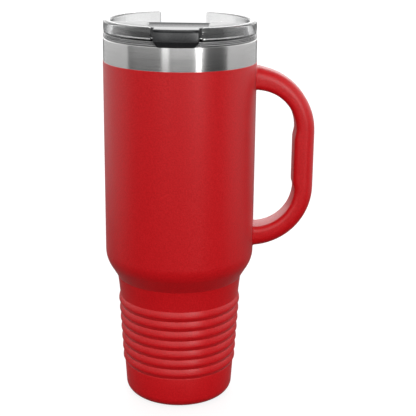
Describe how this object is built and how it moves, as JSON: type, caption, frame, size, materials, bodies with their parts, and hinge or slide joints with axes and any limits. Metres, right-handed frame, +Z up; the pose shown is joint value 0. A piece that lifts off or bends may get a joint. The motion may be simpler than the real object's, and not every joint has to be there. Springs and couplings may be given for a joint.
{
  "type": "insulated travel mug",
  "caption": "Tall double-walled steel travel mug with a red powder coat, ribbed narrow base, side handle and clear lid with a flip-up flap.",
  "frame": {"origin": "centre of the base, on the plane that the mug stands on", "axes": "+Z up along the mug's axis, +X towards the handle, -Y towards the flap's lift tab"},
  "size_m": [0.1368, 0.101, 0.2546],
  "materials": {
    "steel": "satin, brushed around the band",
    "solder_glass": "gloss",
    "getter_metal": "sintered matte",
    "coat": "fine-textured powder coat",
    "coated_steel": "fine-textured powder coat",
    "clear_plastic": "clear gloss",
    "silicone": "translucent satin",
    "grey_plastic": "satin",
    "pin_steel": "polished"
  },
  "bodies": {
    "cup": {"inner_vessel": "steel", "outer_shell": "steel", "base_plate": "steel", "port_cover": "steel", "vacuum_seal": "solder_glass", "vacuum_getter": "getter_metal", "powder_coat": "coat", "handle_left_half": "coated_steel", "handle_right_half": "coated_steel"},
    "lid": {"lid_body": "clear_plastic", "lid_gasket": "silicone"},
    "flap": {"flap": "grey_plastic", "hinge_pins": "pin_steel", "drink_seal": "silicone", "vent_seal": "silicone"}
  },
  "joints": [
    {"name": "lid_lift", "type": "slide", "parent": "cup", "child": "lid", "axis": [0, 0, 1], "range_m": [0, 0.06]},
    {"name": "flap_hinge", "type": "hinge", "parent": "lid", "child": "flap", "pos_m": [-0.00046, -0.00899, 0.2505], "axis": [-0.9987, 0.0506, 0], "range_deg": [0, 180]}
  ]
}
